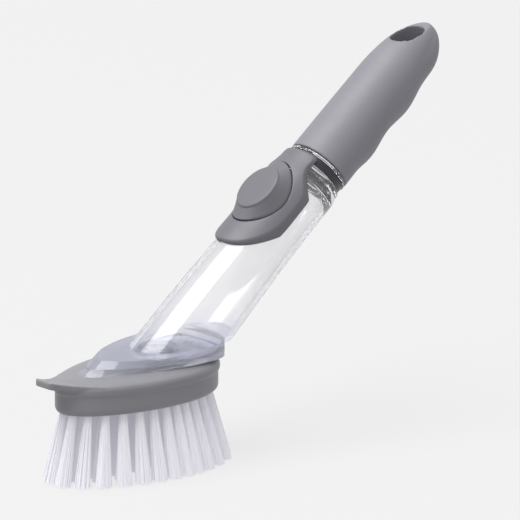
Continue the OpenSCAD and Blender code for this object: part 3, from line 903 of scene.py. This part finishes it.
def strand_tree(name, material):
    """The node tree, and its Radius input."""
    tree = bpy.data.node_groups.new(name, "GeometryNodeTree")
    tree.interface.new_socket("Geometry", in_out="INPUT", socket_type="NodeSocketGeometry")
    radius_input = tree.interface.new_socket("Radius", in_out="INPUT", socket_type="NodeSocketFloat")
    tree.interface.new_socket("Geometry", in_out="OUTPUT", socket_type="NodeSocketGeometry")
    points = node(tree, "NodeGroupInput", output="Geometry")
    radius = node(tree, "NodeGroupInput", output="Radius")
    reach = node(tree, "GeometryNodeInputNamedAttribute", {"data_type": "FLOAT_VECTOR"}, {"Name": "reach"},
                 "Attribute")
    length = node(tree, "ShaderNodeVectorMath", {"operation": "LENGTH"}, {0: reach}, "Value")
    lean = node(tree, "FunctionNodeAlignRotationToVector", {"axis": "Z"}, {"Vector": reach}, "Rotation")
    angle = node(tree, "FunctionNodeRandomValue", {"data_type": "FLOAT"}, {3: FULL_TURN, "Seed": 0}, 1)
    spin = node(tree, "FunctionNodeAxisAngleToRotation", inputs={"Angle": angle}, output="Rotation")
    turned = node(tree, "FunctionNodeRotateRotation", {"rotation_space": "LOCAL"},
                  {"Rotation": lean, "Rotate By": spin}, "Rotation")
    cone = node(tree, "GeometryNodeMeshCone", {"fill_type": "TRIANGLE_FAN"},
                {"Vertices": STRAND_SIDES, "Side Segments": 1, "Depth": 1.0, "Radius Top": radius,
                 "Radius Bottom": radius * TIP_TAPER}, "Mesh")
    stretch = node(tree, "ShaderNodeCombineXYZ", inputs={0: 1.0, 1: 1.0, 2: length}, output="Vector")
    placed = node(tree, "GeometryNodeInstanceOnPoints", inputs={
        "Points": points, "Instance": cone, "Rotation": turned, "Scale": stretch}, output="Instances")
    whole = node(tree, "GeometryNodeRealizeInstances", inputs={"Geometry": placed}, output="Geometry")
    painted = node(tree, "GeometryNodeSetMaterial", inputs={"Geometry": whole, "Material": material},
                   output="Geometry")
    node(tree, "NodeGroupOutput", inputs={"Geometry": painted})
    return tree, radius_input


print("the tree runs from points, by way of cones, to one mesh")

# %% Strands from roots to tips
STRAND_RADIUS = 0.2


def strands(name, roots, tips, material):
    """Tapered strands from each root to each tip, both in CAD millimetres."""
    cloud = bpy.data.meshes.new(name)
    start = (np.asarray(roots) - [ORIGIN_X, 0, 0]) * MM
    reach = (np.asarray(tips) - np.asarray(roots)) * MM
    cloud.from_pydata(start.tolist(), [], [])
    attribute = cloud.attributes.new("reach", "FLOAT_VECTOR", "POINT")
    attribute.data.foreach_set("vector", reach.astype(np.float32).ravel())
    obj = bpy.data.objects.new(name, cloud)
    bpy.context.scene.collection.objects.link(obj)
    modifier = obj.modifiers.new("strands", "NODES")
    modifier.node_group, radius_input = strand_tree(name + "_tree", material)
    modifier[radius_input.identifier] = STRAND_RADIUS * MM
    bake(obj)
    return shade(obj, 60)


print("a strand is", 2 * STRAND_RADIUS, "mm thick")

# %% [markdown]
# The roots stand on three rings inside the block's outline, with one row down the middle. The
# tips lean outwards, most of all in the outer ring. The tips are cut level, with a little
# unevenness that a new brush has too.

# %% Three rings of tufts
ROOT_SPREAD, TIP_SPREAD, TIP_WANDER, TIP_UNEVEN = 1.7, 3.7, 0.15, 0.28
rng = np.random.default_rng(7)


def tufts(inset, count, splay):
    """Roots and tip centres of one ring of tufts."""
    turn = (np.arange(count) + 0.5) * 2 * math.pi / count
    angle = turn + math.radians(9.5) * np.sin(2 * turn)
    return head_outline(angle, inset), head_outline(angle, inset - splay)


def brush(name, cad_node, inset, count, splay, per_tuft, extra=()):
    roots, tips = tufts(inset, count, splay)
    if len(extra):
        roots, tips = np.concatenate([roots, extra]), np.concatenate([tips, extra])
    start, end = [], []
    for root, tip in zip(roots, tips):
        spread = np.sqrt(rng.random(per_tuft))
        turn = rng.random(per_tuft) * 2 * math.pi
        offset = np.column_stack([spread * np.cos(turn), spread * np.sin(turn)])
        low = tip + offset * TIP_SPREAD + rng.normal(0, TIP_WANDER, (per_tuft, 2))
        high = root + offset * ROOT_SPREAD
        start.append(np.column_stack([high, np.full(per_tuft, BASE_BOTTOM + 1.6)]))
        end.append(np.column_stack([low, np.abs(rng.normal(0, TIP_UNEVEN, per_tuft)) + 0.02]))
    obj = strands(name, np.concatenate(start), np.concatenate(end), bristle)
    return settle(obj, "head", "bristle", cad_node)


spine = np.array([[s * HEAD_LENGTH, 0.0] for s in (0.33, 0.42, 0.51, 0.78)])
brush("outer_bristles", "outer_tufts", 5, 28, 7.5, 260)
brush("inner_bristles", "inner_tufts", 11.4, 20, 4.1, 240)
brush("centre_bristles", "centre_tufts", 17.8, 14, 1.5, 220, spine)

# %% [markdown]
# The tufts' roots would show as loose ends from below. A thin slab of the block closes the pocket
# round them, with a hole for the soap.

# %% Sole
SOLE_BOTTOM, SOLE_TOP, SOAP_HOLE = 33.6, 35.05, 3

sole = prism("sole", head_outline(RING, 2.7), SOLE_BOTTOM, SOLE_TOP, material=head_grey)
carve(sole, "DIFFERENCE", prism("sole_hole", circle * SOAP_HOLE + centre, 33, 36))
settle(sole, "head", "head_plastic")

# %% [markdown]
# ## Thread
#
# The grip screws onto the spigot, and the thread shows when it is off. It is a ridge on a helix
# that rises 4 mm a turn, as the screw joint does, and fades out at both ends as a moulded thread
# does. A Screw modifier could make it, but not the faded ends.

# %% Thread on the spigot
THREAD_START, THREAD_TURNS, THREAD_LEAD = 120.2, 3.4, 4.0
THREAD_SECTION = np.array([[-0.25, -0.8], [0.3, -0.35], [0.3, 0.35], [-0.25, 0.8]])


def thread(steps=320):
    u = np.linspace(0, 1, steps)
    angle, along = u * THREAD_TURNS * 2 * math.pi, THREAD_START + u * THREAD_TURNS * THREAD_LEAD
    fade = np.clip(np.minimum(u, 1 - u) * 14, 0.15, 1)
    rings = []
    for a, t, f in zip(angle, along, fade):
        r = SPIGOT_RADIUS + THREAD_SECTION[:, 0] * f
        rings.append(on_handle(np.column_stack([r * math.cos(a), r * math.sin(a), t + THREAD_SECTION[:, 1]])))
    return loft("thread", rings, clear, 30)


settle(thread(), "wand", "clear_plastic")

# %% [markdown]
# ## Studio
#
# The wand is photographed on a pale sweep with no visible horizon. Turning the lamps up would
# whiten the background, but would wash out the greys too. So the backdrop glows at its own level
# for the camera, for gloss and for clear plastic, and gives the object only a plain soft light.

# %% World
BACKGROUND = 0.877
bpy.context.scene.view_settings.view_transform = "Standard"


def seen_directly(tree):
    """One for rays from the camera, a gloss or a clear surface, and zero for light on the object."""
    camera, gloss, through = (node(tree, "ShaderNodeLightPath", output=f"Is {ray} Ray")
                              for ray in ("Camera", "Glossy", "Transmission"))
    return (camera + gloss + through).clamp()


def sky():
    world = bpy.data.worlds.new("studio")
    bpy.context.scene.world = world
    world.use_nodes = True
    tree = world.node_tree
    tree.nodes.clear()
    colour = seen_directly(tree).blend((0.52, 0.52, 0.54), (BACKGROUND,) * 3)
    back = node(tree, "ShaderNodeBackground", inputs={"Color": colour})
    node(tree, "ShaderNodeOutputWorld", inputs={0: back})


sky()
print("background level", BACKGROUND)

# %% [markdown]
# One large soft lamp hangs above the toe. It lights the button's side and the deck, and leaves
# the under side of the grip dark, as in a real product picture.

# %% Lamp
LAMP_WAY, LAMP_DISTANCE, LAMP_SIZE, LAMP_POWER = (-0.32, 0.08, 0.95), 4.0, 3.6, 200


def lamp(name, towards, distance, size, power):
    data = bpy.data.lights.new(name, "AREA")
    data.shape = "DISK"
    data.size, data.energy = size, power
    obj = bpy.data.objects.new(name, data)
    bpy.context.scene.collection.objects.link(obj)
    way = Vector(towards).normalized()
    obj.location = Vector((0, 0, 0.08)) + way * distance
    obj.rotation_euler = (-way).to_track_quat("-Z", "Y").to_euler()
    print(f"lamp {name}: {power} W, {distance} m away")


lamp("key", LAMP_WAY, LAMP_DISTANCE, LAMP_SIZE, LAMP_POWER)

# %% [markdown]
# The floor is mostly its own glow, with a small share of real reflection that takes the shadow.

# %% Floor
FLOOR_HALF, FLOOR_GAP = 3, 0.0004
FLOOR_GREY, FLOOR_GLOW = 0.10, 0.845


def floor():
    mesh = bpy.data.meshes.new("floor")
    corners = [(x * FLOOR_HALF, y * FLOOR_HALF, -FLOOR_GAP) for x, y in ((-1, -1), (1, -1), (1, 1), (-1, 1))]
    mesh.from_pydata(corners, [], [(0, 1, 2, 3)])
    surface = Surface("floor", Roughness=1.0, Specular_IOR_Level=0.0, Base_Color=(FLOOR_GREY,) * 3,
                      Emission_Strength=FLOOR_GLOW)
    surface.put("Emission Color", seen_directly(surface.tree).blend((0.6,) * 3, (BACKGROUND,) * 3))
    mesh.materials.append(surface.material)
    obj = bpy.data.objects.new("floor", mesh)
    bpy.context.scene.collection.objects.link(obj)


floor()
print("floor is", 2 * FLOOR_HALF, "m square")

# %% [markdown]
# ## Camera
#
# The wand is seen from the toe's side, a little from above. The camera stands 8 m away with a
# long lens, because product pictures are taken so: near and far ends keep their true proportions.

# %% Camera
TARGET, AWAY, VIEW_WIDTH = (0.01245, 0.0, 0.0853), 8, 520 * 0.00047


def look(azimuth, elevation, target, distance, width):
    """A camera that looks at a target from this far and sees this width there."""
    data = bpy.data.cameras.new("camera")
    data.sensor_width = 36
    data.lens = data.sensor_width / 2 * distance / (width / 2)
    data.clip_end = 50
    cam = bpy.data.objects.new("camera", data)
    bpy.context.scene.collection.objects.link(cam)
    a, e = math.radians(azimuth), math.radians(elevation)
    back = Vector((math.sin(a) * math.cos(e), -math.cos(a) * math.cos(e), math.sin(e)))
    cam.location = Vector(target) + back * distance
    cam.rotation_euler = (-back).to_track_quat("-Z", "Y").to_euler()
    bpy.context.scene.camera = cam
    print(f"lens {data.lens:.0f} mm")


look(-41, 16, TARGET, AWAY, VIEW_WIDTH)
